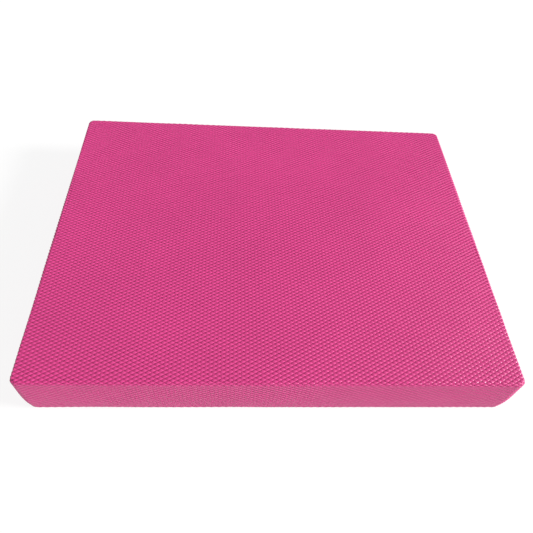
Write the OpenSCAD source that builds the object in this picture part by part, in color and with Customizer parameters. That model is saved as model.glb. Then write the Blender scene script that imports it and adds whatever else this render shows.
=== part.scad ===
// Foam balance pad: laminated closed-cell core inside an embossed skin.
// Origin at the centre of the underside, X along the length, Y along the depth, Z up. Millimetres.

/* [Pad] */
// Length of the pad, along X
pad_length = 450; // [350:10:600]
// Depth of the pad, along Y
pad_depth = 350; // [300:10:450]
// Thickness of the pad, along Z
pad_height = 60; // [40:5:80]

/* [Edges] */
// Radius of the four upright corners, seen from above
corner_radius = 7; // [7:1:20]
// Radius of the edge round the standing face
top_edge_radius = 3; // [2:0.5:6]
// Radius of the softer edge round the underside
bottom_edge_radius = 6; // [2:0.5:6]

/* [Construction] */
// Thickness of the embossed skin
skin_thickness = 1.5; // [0.5:0.25:1.5]
// Colour of the skin
skin_color = "#d44d86"; // [#d44d86, #3f78b5, #4a4a50]
// Colour of the bare foam inside
core_color = "#de6f9b"; // [#de6f9b, #6c9bcb, #6e6e74]

/* [Hidden] */
$fn = 48;
core_layers = 3;
layer_height = (pad_height - 2 * skin_thickness) / core_layers;
// Centres of the upright corners, and how far the core reaches out from them
corner_x = pad_length / 2 - corner_radius;
corner_y = pad_depth / 2 - corner_radius;
core_reach = corner_radius - skin_thickness;
// Height at which the side band meets the top skin; it meets the bottom skin at bottom_edge_radius
upper_seam = pad_height - top_edge_radius;

// Carries a cross-section round the pad: along each side, and turned about each corner's centre.
// In the cross-section X is the distance outwards from the corner's centre, and Y is the height.
module around() {
    for (turn = [0, 180]) {
        rotate(turn) side_run(corner_x, corner_y) children();
        rotate(turn + 90) side_run(corner_y, corner_x) children();
    }
    for (turn = [0, 180]) {
        rotate(turn) translate([corner_x, corner_y]) rotate_extrude(angle = 90) children();
        rotate(turn + 90) translate([corner_y, corner_x]) rotate_extrude(angle = 90) children();
    }
}

// The stretch of cross-section along one side, which faces +X at the distance out.
module side_run(out, half_length) {
    translate([out, half_length, 0]) rotate([90, 0, 0]) linear_extrude(2 * half_length) children();
}

// The flat middle of a sheet, between the centres of the corners.
module middle(low, high) {
    translate([-corner_x, -corner_y, low]) cube([2 * corner_x, 2 * corner_y, high - low]);
}

// Quarter of a disc in the upper outer quadrant.
module quarter_disc(r) {
    intersection() {
        circle(r);
        square(r);
    }
}

// Cross-section of a solid sheet whose upper outer edge is rounded to edge_radius.
module rounded_section(reach, height, edge_radius) {
    square([reach - edge_radius, height]);
    square([reach, height - edge_radius]);
    translate([reach - edge_radius, height - edge_radius]) quarter_disc(edge_radius);
}

// Cross-section of a skin that lies flat and turns down round an edge of edge_radius.
module skin_section(edge_radius) {
    translate([0, edge_radius - skin_thickness]) square([corner_radius - edge_radius, skin_thickness]);
    translate([corner_radius - edge_radius, 0]) difference() {
        quarter_disc(edge_radius);
        circle(edge_radius - skin_thickness);
    }
}

// A whole edge skin with its seam at height zero and its flat face up.
module edge_skin(edge_radius) {
    around() skin_section(edge_radius);
    middle(edge_radius - skin_thickness, edge_radius);
}

// An outer core sheet that starts at height zero and is rounded to suit the skin over it.
module outer_core(edge_radius) {
    around() rounded_section(core_reach, layer_height, edge_radius - skin_thickness);
    middle(0, layer_height);
}

module bottom_skin() {
    color(skin_color) translate([0, 0, bottom_edge_radius]) mirror([0, 0, 1]) edge_skin(bottom_edge_radius);
}

module side_skin() {
    color(skin_color) translate([0, 0, bottom_edge_radius]) around()
        translate([core_reach, 0]) square([skin_thickness, upper_seam - bottom_edge_radius]);
}

module top_skin() {
    color(skin_color) translate([0, 0, upper_seam]) edge_skin(top_edge_radius);
}

module core_lower() {
    color(core_color) translate([0, 0, skin_thickness + layer_height]) mirror([0, 0, 1])
        outer_core(bottom_edge_radius);
}

module core_middle() {
    color(core_color) translate([0, 0, skin_thickness + layer_height]) {
        around() square([core_reach, layer_height]);
        middle(0, layer_height);
    }
}

module core_upper() {
    color(core_color) translate([0, 0, skin_thickness + 2 * layer_height]) outer_core(top_edge_radius);
}

bottom_skin();
core_lower();
core_middle();
core_upper();
side_skin();
top_skin();
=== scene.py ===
"""Foam balance pad: diamond-embossed skins round three bonded foam sheets, on a pale studio floor."""

import math

import bmesh
import bpy
import numpy as np
from mathutils import Matrix, Quaternion, Vector


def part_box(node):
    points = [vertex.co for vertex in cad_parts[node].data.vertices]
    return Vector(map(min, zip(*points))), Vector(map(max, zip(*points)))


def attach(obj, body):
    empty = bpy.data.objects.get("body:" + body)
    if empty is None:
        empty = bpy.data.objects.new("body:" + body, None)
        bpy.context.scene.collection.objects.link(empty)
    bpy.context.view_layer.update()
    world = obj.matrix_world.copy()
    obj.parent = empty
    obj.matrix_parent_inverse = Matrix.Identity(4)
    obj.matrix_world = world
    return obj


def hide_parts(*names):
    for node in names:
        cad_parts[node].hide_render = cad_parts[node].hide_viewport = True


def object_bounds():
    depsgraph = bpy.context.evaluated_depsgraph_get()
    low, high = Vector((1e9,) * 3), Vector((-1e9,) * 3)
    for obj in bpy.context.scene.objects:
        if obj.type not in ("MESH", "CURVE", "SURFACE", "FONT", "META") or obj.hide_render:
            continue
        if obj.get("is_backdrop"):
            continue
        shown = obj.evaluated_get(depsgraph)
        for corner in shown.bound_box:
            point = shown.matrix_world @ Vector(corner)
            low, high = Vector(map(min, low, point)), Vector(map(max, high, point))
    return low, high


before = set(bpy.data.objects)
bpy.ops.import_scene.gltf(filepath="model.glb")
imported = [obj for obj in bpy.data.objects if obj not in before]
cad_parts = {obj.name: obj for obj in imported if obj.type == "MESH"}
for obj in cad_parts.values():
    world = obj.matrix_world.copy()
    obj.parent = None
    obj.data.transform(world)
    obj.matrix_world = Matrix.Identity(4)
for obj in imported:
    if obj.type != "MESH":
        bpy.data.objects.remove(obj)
cad_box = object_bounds()
MM = 0.001

# ---- Sizes: from the CAD boxes where they can be, in metres ----
LOW, HIGH = (np.array(corner, float) for corner in cad_box)
LENGTH, DEPTH, HEIGHT = HIGH - LOW
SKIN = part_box("core_lower")[0][2]  # thickness of a skin
TOP_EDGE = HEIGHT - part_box("top_skin")[0][2]  # radius of the edge round the standing face
BOTTOM_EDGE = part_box("bottom_skin")[1][2]  # radius of the softer edge round the underside
CORNER = 7 * MM  # radius of the upright corners in plan
CENTRE = np.array([LENGTH / 2 - CORNER, DEPTH / 2 - CORNER])  # a corner's centre in plan
SWELL = 1.5 * MM  # how far the soft sides stand out at most
SWELL_LEAN = 1.4  # above 1 the swell is fullest below half way
UNEVENNESS = 0.09 * MM  # size of the waves that make the faces slightly uneven

# ---- Embossing: rhombic cells with grooves between them ----
CELL_X = 7.04 * MM  # long diagonal, across the pad
CELL_Y = 3.77 * MM  # short diagonal on the two large faces
CELL_SIDE = 4.17 * MM  # short diagonal on the sides
RELIEF = 0.90 * MM  # how deep the grooves are
LATTICE_TURN = math.radians(0.8)  # how far the embossing is off square on the large faces
SHOULDER = 0.74  # where a cell's flank meets its crown, from its middle to its rim
CROWN = 0.28  # how far the shoulder lies below the middle, as a share of the relief
QUARTER_STEPS = 6  # cuts round a quarter turn
ARC_STEP = math.pi / 2 / QUARTER_STEPS
INNER_STEPS = 3  # the same inside the skins and on the core, where nothing shows
INNER_GAP = 0.1 * MM  # clearance between a skin's inside and the core
ROUNDING = 0.001 * MM  # slack for rounding in a mesh's stored coordinates
MERGE = 0.004 * MM  # vertices nearer than this become one
CUT_SLACK = 1e-7  # a vertex this near a cut counts as on it
SHARP_ANGLE = math.radians(40)  # core faces that meet at more than this keep a hard corner
TINY = 1e-12  # keeps a zero length from being divided by


def wobble(points):
    """Gentle unevenness of a soft block, in metres, the same each run."""
    x, y, z = points.T
    waves = np.sin(31 * x + 17 * y + 0.6) + np.sin(53 * y - 23 * x + 40 * z + 2.1)
    waves += 0.6 * np.sin(71 * x + 64 * y + 90 * z + 4.0)
    return UNEVENNESS * waves


def lattice(width, height, step_x, step_y, depth=RELIEF):
    """Flat field of embossed cells over a width by height rectangle: vertices (x, y, -depth) and faces."""
    across, up = math.ceil(width / step_x) + 1, math.ceil(height / step_y) + 1
    points, faces, rims = [], [], {}

    def rim(i, j):
        if (i, j) not in rims:
            rims[i, j] = len(points)
            points.append((i * step_x / 2, j * step_y / 2, -depth))
        return rims[i, j]

    for i in range(-across, across + 1):
        for j in range(-up, up + 1):
            if (i + j) % 2:
                continue
            x, y = i * step_x / 2, j * step_y / 2
            corners = [rim(i + 1, j), rim(i, j + 1), rim(i - 1, j), rim(i, j - 1)]
            first = len(points)
            for dx, dy in ((1, 0), (0, 1), (-1, 0), (0, -1)):
                shoulder = (x + dx * SHOULDER * step_x / 2, y + dy * SHOULDER * step_y / 2)
                points.append((*shoulder, -depth * CROWN))
            points.append((x, y, 0.0))
            for k in range(4):
                n = (k + 1) % 4
                faces.append((corners[k], corners[n], first + n, first + k))
                faces.append((first + k, first + n, first + 4))
    return points, faces


def flat_field(*args):
    bm = bmesh.new()
    points, faces = lattice(*args)
    verts = [bm.verts.new(p) for p in points]
    for face in faces:
        bm.faces.new([verts[k] for k in face])
    return bm


def cut(bm, place, normal, drop, near=None):
    """Cuts the flat field along a line; with drop, what lies beyond it goes."""
    place, normal = Vector((*place, 0)), Vector((*normal, 0))
    faces = [f for f in bm.faces if near is None or near(f.calc_center_median())]
    geom = list({v for f in faces for v in f.verts}) + list({e for f in faces for e in f.edges}) + faces
    bmesh.ops.bisect_plane(bm, geom=geom, dist=CUT_SLACK, plane_co=place, plane_no=normal, clear_outer=drop)


def trim_to_pad(bm, edge):
    """Cuts a flat field to a large face's flattened outline and adds lines where its edge will bend."""
    bmesh.ops.rotate(bm, verts=bm.verts, matrix=Matrix.Rotation(LATTICE_TURN, 3, "Z"))
    reach = CORNER - edge + edge * math.pi / 2
    band = reach + CELL_X
    for axis in (0, 1):
        for sign in (-1, 1):
            normal = [0, 0]
            normal[axis] = sign

            def near(c, axis=axis, sign=sign):
                return sign * c[axis] > CENTRE[axis] - band

            cut(bm, [sign * (CENTRE[k] + reach) * (k == axis) for k in (0, 1)], normal, True)
            for n in range(QUARTER_STEPS):
                out = CENTRE[axis] + CORNER - edge + edge * n * ARC_STEP
                cut(bm, [sign * out * (k == axis) for k in (0, 1)], normal, False, near)
    for sx in (-1, 1):
        for sy in (-1, 1):
            for n in range(1, QUARTER_STEPS):
                a = n * ARC_STEP
                normal = (sx * math.cos(a), sy * math.sin(a))
                place = (sx * CENTRE[0] + reach * normal[0], sy * CENTRE[1] + reach * normal[1])

                def near(c, sx=sx, sy=sy):
                    return sx * c[0] > CENTRE[0] - band and sy * c[1] > CENTRE[1] - band

                cut(bm, place, normal, True, near)


def bend_cap(points, edge, up):
    """Lays flat points on a large face and round its edge. up is 1 for the top and -1 for the underside."""
    flat, depth = points[:, :2], -points[:, 2]
    nearest = np.clip(flat, -CENTRE, CENTRE)
    away = flat - nearest
    dist = np.linalg.norm(away, axis=1)
    out = away / np.maximum(dist, TINY)[:, None]
    ring = CORNER - edge
    angle = np.clip((dist - ring) / edge, 0, math.pi / 2)
    reach = np.where(dist > ring, ring + edge * np.sin(angle), dist)
    normal = np.column_stack([out * np.sin(angle)[:, None], np.cos(angle)])
    plan = nearest + out * reach[:, None]
    height = HEIGHT - edge * (1 - np.cos(angle))
    done = np.column_stack([plan, height]) - normal * depth[:, None]
    done -= normal * np.abs(wobble(done))[:, None]
    if up < 0:
        done[:, 2] = HEIGHT - done[:, 2]
    return done


def perimeter():
    """Length of the plan outline."""
    return 4 * CENTRE.sum() + 2 * math.pi * CORNER


def runs_along():
    """Yields the outline's runs from the front's middle: beginning, length and whether it turns."""
    x, y = CENTRE
    arc = CORNER * math.pi / 2
    begin = 0.0
    for k, run in enumerate((x, arc, 2 * y, arc, 2 * x, arc, 2 * y, arc, x)):
        yield begin, run, k % 2 == 1
        begin += run


def corner_lines():
    """Distances along the plan outline at which its corners are cut into short stretches."""
    turns = [(begin, run) for begin, run, turning in runs_along() if turning]
    return [begin + run * n / QUARTER_STEPS for begin, run in turns for n in range(QUARTER_STEPS + 1)]


def round_pad(along):
    """Points on the plan outline and their outward directions, at distances from the front's middle."""
    place, out = np.zeros((len(along), 2)), np.zeros((len(along), 2))
    at, heading = np.array([0, -CENTRE[1]]), 0.0
    for begin, run, turning in runs_along():
        here = (along >= begin - ROUNDING) & (along <= begin + run + ROUNDING)
        travelled = along[here] - begin
        if turning:
            angle = heading - math.pi / 2 + travelled / CORNER
            out[here] = np.column_stack([np.cos(angle), np.sin(angle)])
            place[here] = at + CORNER * out[here]
            heading += math.pi / 2
        else:
            way = np.array([math.cos(heading), math.sin(heading)])
            out[here] = (way[1], -way[0])
            place[here] = at + travelled[:, None] * way + CORNER * out[here]
            at = at + run * way
    return place, out


def swell(height):
    """How far the sides stand out at a height: most a little below half way, and nothing at the seams."""
    down = np.clip((HEIGHT - TOP_EDGE - height) / (HEIGHT - TOP_EDGE - BOTTOM_EDGE), 0, 1)
    return SWELL * np.sin(math.pi * down ** SWELL_LEAN)


def bend_side(points):
    """Wraps flat points, whose second coordinate is a height, round the four sides."""
    place, out = round_pad(points[:, 0])
    done = np.column_stack([place, points[:, 1]])
    normal = np.column_stack([out, np.zeros(len(out))])
    return done + normal * (points[:, 2] - np.abs(wobble(done)) + swell(done[:, 2]))[:, None]


def coordinates(bm):
    return np.array([v.co[:] for v in bm.verts])


def place_all(bm, points):
    for v, p in zip(bm.verts, points):
        v.co = p


def store_relief(bm):
    """Keeps each vertex's height over the grooves, from 0 to 1, for the material, which paints shade into
    the grooves with it.
    """
    layer = bm.verts.layers.float.new("relief")
    for v in bm.verts:
        v[layer] = 1 + v.co.z / RELIEF


def extend_rim(bm, edges, move, sharp=False):
    """Extends an open rim by one band of faces whose far points go to move(point), and returns the new rim.
    sharp makes the rim it starts from a hard corner."""
    for e in edges:
        e.smooth = not sharp
    made = bmesh.ops.extrude_edge_only(bm, edges=edges)["geom"]
    for v in (g for g in made if isinstance(g, bmesh.types.BMVert)):
        v.co = move(v.co)
    fresh = {g for g in made if isinstance(g, bmesh.types.BMVert)}
    return [g for g in made if isinstance(g, bmesh.types.BMEdge) and all(v in fresh for v in g.verts)]


def inwards(amount, height):
    """A move that takes a rim point to the outline inset by amount, at a height."""

    def move(co):
        flat = np.array(co[:2])
        nearest = np.clip(flat, -CENTRE, CENTRE)
        away = flat - nearest
        away /= max(np.linalg.norm(away), TINY)
        plan = nearest + away * (CORNER - amount)
        return Vector((*plan, height))

    return move


def edge_arc(radius):
    """Insets and drops round an edge of a radius, from its upright side to its flat face."""
    angles = [n * math.pi / 2 / INNER_STEPS for n in range(INNER_STEPS + 1)]
    return [(radius * (1 - math.cos(a)), radius * (1 - math.sin(a))) for a in angles]


def open_edges(bm):
    return [e for e in bm.edges if e.is_boundary]


def finish_mesh(bm, name, material):
    bmesh.ops.recalc_face_normals(bm, faces=bm.faces)
    mesh = bpy.data.meshes.new(name)
    bm.to_mesh(mesh)
    bm.free()
    mesh.materials.append(material)
    mesh.shade_smooth()
    piece = bpy.data.objects.new(name, mesh)
    bpy.context.scene.collection.objects.link(piece)
    return piece


def embossed_cap(name, edge, up, material):
    """A skin that covers a large face and turns round its edge as far as the seam with the side."""
    bm = flat_field(LENGTH + 4 * edge, DEPTH + 4 * edge, CELL_X, CELL_Y)
    trim_to_pad(bm, edge)
    store_relief(bm)
    place_all(bm, bend_cap(coordinates(bm), edge, up))
    bmesh.ops.remove_doubles(bm, verts=bm.verts, dist=MERGE)
    rim = open_edges(bm)
    for n, (inset, drop) in enumerate(edge_arc(edge - SKIN)):
        height = SKIN + drop
        rim = extend_rim(bm, rim, inwards(SKIN + inset, HEIGHT - height if up > 0 else height), n < 2)
    bmesh.ops.contextual_create(bm, geom=rim)
    return finish_mesh(bm, name, material)


def embossed_side(name, material):
    """The band round the four sides, with a whole number of cells in its length."""
    cells = round(perimeter() / CELL_X)
    step = perimeter() / cells
    low, high = BOTTOM_EDGE, HEIGHT - TOP_EDGE
    bm = flat_field(perimeter() + step, HEIGHT, step, CELL_SIDE)
    for v in bm.verts:
        v.co.x += perimeter() / 2
        v.co.y += (low + high) / 2
    cut(bm, (0, low), (0, -1), True)
    cut(bm, (0, high), (0, 1), True)
    cut(bm, (0, 0), (-1, 0), True)
    cut(bm, (perimeter(), 0), (1, 0), True)
    for line in corner_lines():
        cut(bm, (line, 0), (1, 0), False, lambda c, line=line: abs(c[0] - line) < 2 * step)
    store_relief(bm)
    place_all(bm, bend_side(coordinates(bm)))
    bmesh.ops.remove_doubles(bm, verts=bm.verts, dist=MERGE)
    rims = {low: [], high: []}
    for e in open_edges(bm):
        middle = (e.verts[0].co.z + e.verts[1].co.z) / 2
        rims[min(rims, key=lambda z: abs(z - middle))].append(e)
    inner = [extend_rim(bm, edges, inwards(SKIN, z), True) for z, edges in rims.items()]
    for e in inner[0] + inner[1]:
        e.smooth = False
    bmesh.ops.bridge_loops(bm, edges=inner[0] + inner[1])
    return finish_mesh(bm, name, material)


def core_section(node):
    """Insets and heights up the edge of a core sheet, which is round where a skin turns over it."""
    low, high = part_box(node)[0][2] + INNER_GAP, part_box(node)[1][2] - INNER_GAP
    inset = SKIN + INNER_GAP
    lower = edge_arc(BOTTOM_EDGE - inset) if node == "core_lower" else [(0, 0)]
    upper = edge_arc(TOP_EDGE - inset) if node == "core_upper" else [(0, 0)]
    return [(inset + i, low + d) for i, d in reversed(lower)] + [(inset + i, high - d) for i, d in upper]


def core_sheet(name, node, material):
    """One foam sheet of the core, just clear of the skins and of its neighbours."""
    first, *others = core_section(node)
    place, _ = round_pad(np.array(corner_lines()))
    bm = bmesh.new()
    ring = [bm.verts.new(inwards(*first)((*p, 0))) for p in place]
    bm.faces.new(ring)
    rim = list(bm.edges)
    for inset, height in others:
        rim = extend_rim(bm, rim, inwards(inset, height))
    bmesh.ops.contextual_create(bm, geom=rim)
    piece = finish_mesh(bm, name, material)
    piece.data.set_sharp_from_angle(angle=SHARP_ANGLE)
    return piece


# ---- Materials ----
SKIN_CROWN = (0.640, 0.061, 0.238, 1)
# The groove colour is painted shade: the skin is made darker and deeper in colour where the grooves lie in
# shade.
GROOVE_PAINTED_SHADE = (0.540, 0.032, 0.175, 1)
FOAM = (0.720, 0.150, 0.320, 1)


def node_tools(material):
    tree = material.node_tree

    def add(kind, **values):
        node = tree.nodes.new(kind)
        for key, value in values.items():
            if key in node.inputs:
                node.inputs[key].default_value = value
            else:
                setattr(node, key, value)
        return node

    return tree, add


def new_material(name):
    material = bpy.data.materials.new(name)
    material.use_nodes = True
    return material, material.node_tree.nodes["Principled BSDF"]


def embossed_material():
    """Satin closed-cell skin: painted shade in the grooves, faint mottling, a fine pored grain."""
    material, shader = new_material("embossed_skin_look")
    tree, add = node_tools(material)
    link = tree.links.new
    place = add("ShaderNodeTexCoord")
    relief = add("ShaderNodeAttribute", attribute_name="relief")
    # The ramp paints shade into the grooves: the painted groove shade at their bottoms, the crown colour
    # over the cells.
    ramp = add("ShaderNodeValToRGB")
    ramp.color_ramp.elements[0].position = 0.05
    ramp.color_ramp.elements[0].color = GROOVE_PAINTED_SHADE
    ramp.color_ramp.elements[1].position = 0.75
    ramp.color_ramp.elements[1].color = SKIN_CROWN
    mottle = add("ShaderNodeTexNoise", Scale=14.0, Detail=3.0)
    tint = add("ShaderNodeHueSaturation")
    swing = add("ShaderNodeMapRange")
    swing.inputs["To Min"].default_value = 0.93
    swing.inputs["To Max"].default_value = 1.07
    grain = add("ShaderNodeTexNoise", Scale=1500.0, Detail=4.0)
    pores = add("ShaderNodeTexVoronoi", Scale=1100.0)
    both = add("ShaderNodeMath", operation="MULTIPLY_ADD")
    both.inputs[1].default_value = 0.5
    rough = add("ShaderNodeMapRange")
    rough.inputs["To Min"].default_value = 0.25
    rough.inputs["To Max"].default_value = 0.37
    bump = add("ShaderNodeBump", Strength=0.25, Distance=0.00008)
    shader.inputs["Specular IOR Level"].default_value = 0.30
    for texture in (mottle, grain, pores):
        link(place.outputs["Object"], texture.inputs["Vector"])
    link(relief.outputs["Fac"], ramp.inputs["Fac"])
    link(mottle.outputs["Fac"], swing.inputs["Value"])
    link(swing.outputs["Result"], tint.inputs["Value"])
    link(ramp.outputs["Color"], tint.inputs["Color"])
    link(tint.outputs["Color"], shader.inputs["Base Color"])
    link(grain.outputs["Fac"], rough.inputs["Value"])
    link(rough.outputs["Result"], shader.inputs["Roughness"])
    link(pores.outputs["Distance"], both.inputs[0])
    link(grain.outputs["Fac"], both.inputs[2])
    link(both.outputs["Value"], bump.inputs["Height"])
    link(bump.outputs["Normal"], shader.inputs["Normal"])
    return material


def foam_material():
    """Bare cut foam: matte, with open cells."""
    material, shader = new_material("foam_core_look")
    tree, add = node_tools(material)
    link = tree.links.new
    place = add("ShaderNodeTexCoord")
    cells = add("ShaderNodeTexVoronoi", Scale=900.0)
    ramp = add("ShaderNodeValToRGB")
    ramp.color_ramp.elements[0].color = tuple(0.8 * c for c in FOAM[:3]) + (1,)
    ramp.color_ramp.elements[1].color = FOAM
    bump = add("ShaderNodeBump", Strength=0.5, Distance=0.0002)
    link(place.outputs["Object"], cells.inputs["Vector"])
    link(cells.outputs["Distance"], ramp.inputs["Fac"])
    link(ramp.outputs["Color"], shader.inputs["Base Color"])
    link(cells.outputs["Distance"], bump.inputs["Height"])
    link(bump.outputs["Normal"], shader.inputs["Normal"])
    shader.inputs["Roughness"].default_value = 0.85
    return material


def floor_material():
    """A backlit white sheet, so that only a faint shadow shows on it."""
    material, shader = new_material("floor_look")
    shader.inputs["Base Color"].default_value = (0.12, 0.12, 0.12, 1)
    shader.inputs["Roughness"].default_value = 0.9
    shader.inputs["Emission Color"].default_value = (1, 1, 1, 1)
    shader.inputs["Emission Strength"].default_value = 0.88
    return material


# ---- Pieces ----
skin_look, foam_look = embossed_material(), foam_material()
pieces = {
    "top_skin": embossed_cap("top_skin_embossed", TOP_EDGE, 1, skin_look),
    "bottom_skin": embossed_cap("bottom_skin_embossed", BOTTOM_EDGE, -1, skin_look),
    "side_skin": embossed_side("side_skin_embossed", skin_look),
}
for node in ("core_lower", "core_middle", "core_upper"):
    pieces[node] = core_sheet(node + "_foam", node, foam_look)
for node, piece in pieces.items():
    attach(piece, "root")
    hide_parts(node)
    "embossed_skin" if "skin" in node else "foam_core"

# ---- Studio ----
FLOOR_HALF = 4.0
FLOOR_DROP = 0.2 * MM  # keeps the floor from coinciding with the underside


def floor():
    mesh = bpy.data.meshes.new("floor")
    signs = ((-1, -1), (1, -1), (1, 1), (-1, 1))
    corners = [(sx * FLOOR_HALF, sy * FLOOR_HALF, -FLOOR_DROP) for sx, sy in signs]
    mesh.from_pydata(corners, [], [(0, 1, 2, 3)])
    mesh.materials.append(floor_material())
    obj = bpy.data.objects.new("floor", mesh)
    bpy.context.scene.collection.objects.link(obj)
    obj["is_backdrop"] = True


def area_light(name, place, target, size, power):
    data = bpy.data.lights.new(name, "AREA")
    data.shape, data.size, data.energy = "DISK", size, power
    light = bpy.data.objects.new(name, data)
    light.location = place
    light.rotation_euler = (Vector(target) - Vector(place)).to_track_quat("-Z", "Y").to_euler()
    bpy.context.scene.collection.objects.link(light)


def sun(name, azimuth, elevation, spread, strength):
    """A distant light. Azimuth is clockwise from +Y seen from above; angles are in degrees."""
    data = bpy.data.lights.new(name, "SUN")
    data.angle, data.energy = math.radians(spread), strength
    a, e = math.radians(azimuth), math.radians(elevation)
    towards = Vector((math.cos(e) * math.sin(a), math.cos(e) * math.cos(a), math.sin(e)))
    light = bpy.data.objects.new(name, data)
    light.rotation_euler = towards.to_track_quat("Z", "Y").to_euler()
    bpy.context.scene.collection.objects.link(light)


def sky():
    """A studio sky, white at the horizon and dimmer overhead."""
    world = bpy.data.worlds.new("studio")
    world.use_nodes = True
    tree = world.node_tree
    place = tree.nodes.new("ShaderNodeTexCoord")
    split = tree.nodes.new("ShaderNodeSeparateXYZ")
    fade = tree.nodes.new("ShaderNodeMapRange")
    for name, value in {"From Min": 0.02, "From Max": 0.40, "To Min": 0.95, "To Max": 0.26}.items():
        fade.inputs[name].default_value = value
    tree.links.new(place.outputs["Generated"], split.inputs["Vector"])
    tree.links.new(split.outputs["Z"], fade.inputs["Value"])
    tree.links.new(fade.outputs["Result"], tree.nodes["Background"].inputs["Strength"])
    tree.nodes["Background"].inputs["Color"].default_value = (1, 1, 1, 1)
    bpy.context.scene.world = world


def studio():
    """A low key light from the right and soft fill from the sky, the floor and the front."""
    sky()
    bpy.context.scene.view_settings.view_transform = "Standard"
    sun("key", 98, 26, 14, 4.8)
    area_light("front", (0.10, -0.80, 0.55), (0, 0, HEIGHT), 0.20, 0.60)
    area_light("right", (0.45, 0.00, 0.50), (0, 0, HEIGHT), 0.20, 0.60)


def camera():
    """A handheld view from in front and above, slightly rolled. Angles in degrees, the place in metres."""
    place, down, turn, roll, lens = (-0.0370, -0.3294, 0.4469), 53.93, 6.32, 6.22, 31.90
    d, t = math.radians(down), math.radians(turn)
    ahead = Vector((math.cos(d) * math.sin(t), math.cos(d) * math.cos(t), -math.sin(d)))
    data = bpy.data.cameras.new("camera")
    data.lens, data.sensor_width = lens, 36
    data.clip_start = 0.01
    cam = bpy.data.objects.new("camera", data)
    cam.location = place
    cam.rotation_mode = "QUATERNION"
    cam.rotation_quaternion = ahead.to_track_quat("-Z", "Y") @ Quaternion((0, 0, 1), math.radians(roll))
    bpy.context.scene.collection.objects.link(cam)
    bpy.context.scene.camera = cam


floor()
studio()
camera()

bpy.context.view_layer.update()
sizes = {"cad": cad_box, "visual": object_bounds()}
{name: [list(map(float, corner)) for corner in box] for name, box in sizes.items()}
